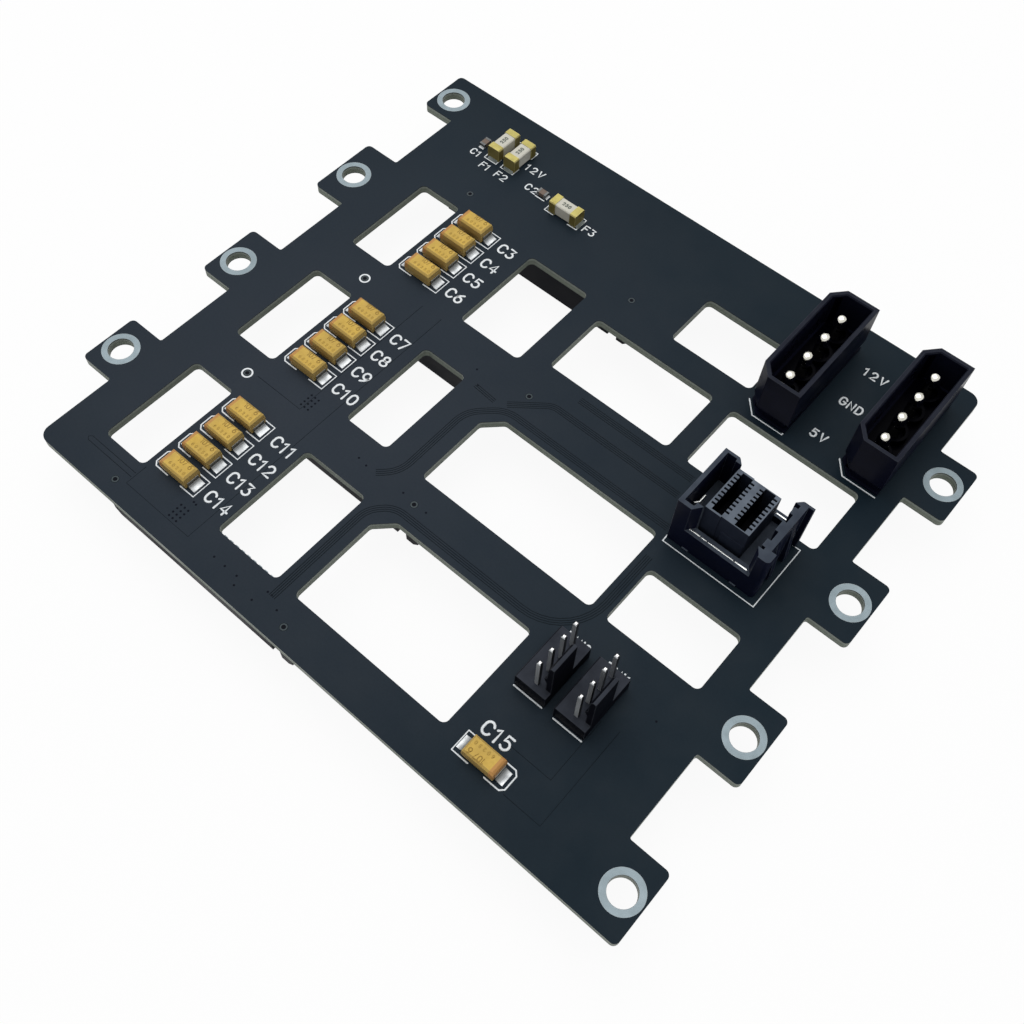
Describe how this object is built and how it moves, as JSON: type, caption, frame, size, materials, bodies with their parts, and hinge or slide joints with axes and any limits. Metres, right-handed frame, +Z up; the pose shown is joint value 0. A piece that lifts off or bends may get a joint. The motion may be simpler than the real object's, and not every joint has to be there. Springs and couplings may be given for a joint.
{
  "type": "drive backplane board",
  "caption": "Flat black circuit board with air cut-outs and screw tabs that carries drive sockets below and power, fan and data connectors above.",
  "frame": {"origin": "centre of the board outline, on the underside that seats on the cage (the drive side)", "axes": "+X along the drive sockets towards the power and data connectors, +Y across the bays towards the power end, +Z up out of the component side"},
  "size_m": [0.1234, 0.1074, 0.0213],
  "materials": {
    "board_mask": "black solder mask on glass-fibre laminate, satin",
    "capacitor_resin": "moulded mustard-yellow resin",
    "tinned_lead": "tinned lead strap",
    "fuse_ceramic": "off-white ceramic tube",
    "gold_cap": "gold-plated end cap",
    "chip_ceramic": "brown chip ceramic",
    "tinned_end": "tinned chip end",
    "inlet_plastic": "black nylon, slightly glossy",
    "power_pin_metal": "bright tinned round pin",
    "header_plastic": "charcoal nylon",
    "fan_pin_metal": "bright tinned square pin",
    "shroud_plastic": "dark navy-black moulding",
    "core_plastic": "blue-grey moulding, darker on its sides",
    "contact_metal": "gold-plated spring contact",
    "strip_metal": "bright hold-down strip",
    "socket_plastic": "black high-temperature moulding"
  },
  "bodies": {
    "root": {"board": "board_mask", "capacitor_c10_body": "capacitor_resin", "capacitor_c10_leads": "tinned_lead", "capacitor_c11_body": "capacitor_resin", "capacitor_c11_leads": "tinned_lead", "capacitor_c12_body": "capacitor_resin", "capacitor_c12_leads": "tinned_lead", "capacitor_c13_body": "capacitor_resin", "capacitor_c13_leads": "tinned_lead", "capacitor_c14_body": "capacitor_resin", "capacitor_c14_leads": "tinned_lead", "capacitor_c15_body": "capacitor_resin", "capacitor_c15_leads": "tinned_lead", "capacitor_c3_body": "capacitor_resin", "capacitor_c3_leads": "tinned_lead", "capacitor_c4_body": "capacitor_resin", "capacitor_c4_leads": "tinned_lead", "capacitor_c5_body": "capacitor_resin", "capacitor_c5_leads": "tinned_lead", "capacitor_c6_body": "capacitor_resin", "capacitor_c6_leads": "tinned_lead", "capacitor_c7_body": "capacitor_resin", "capacitor_c7_leads": "tinned_lead", "capacitor_c8_body": "capacitor_resin", "capacitor_c8_leads": "tinned_lead", "capacitor_c9_body": "capacitor_resin", "capacitor_c9_leads": "tinned_lead", "chip_c1_body": "chip_ceramic", "chip_c1_ends": "tinned_end", "chip_c2_body": "chip_ceramic", "chip_c2_ends": "tinned_end", "data_connector_contacts": "contact_metal", "data_connector_core": "core_plastic", "data_connector_shroud": "shroud_plastic", "data_connector_strips": "strip_metal", "drive_socket_1_contacts": "contact_metal", "drive_socket_1_housing": "socket_plastic", "drive_socket_2_contacts": "contact_metal", "drive_socket_2_housing": "socket_plastic", "drive_socket_3_contacts": "contact_metal", "drive_socket_3_housing": "socket_plastic", "drive_socket_4_contacts": "contact_metal", "drive_socket_4_housing": "socket_plastic", "fan_header_1_base": "header_plastic", "fan_header_1_pins": "fan_pin_metal", "fan_header_2_base": "header_plastic", "fan_header_2_pins": "fan_pin_metal", "fuse_f1_body": "fuse_ceramic", "fuse_f1_caps": "gold_cap", "fuse_f2_body": "fuse_ceramic", "fuse_f2_caps": "gold_cap", "fuse_f3_body": "fuse_ceramic", "fuse_f3_caps": "gold_cap", "power_inlet_1_housing": "inlet_plastic", "power_inlet_1_pins": "power_pin_metal", "power_inlet_2_housing": "inlet_plastic", "power_inlet_2_pins": "power_pin_metal"}
  },
  "joints": []
}
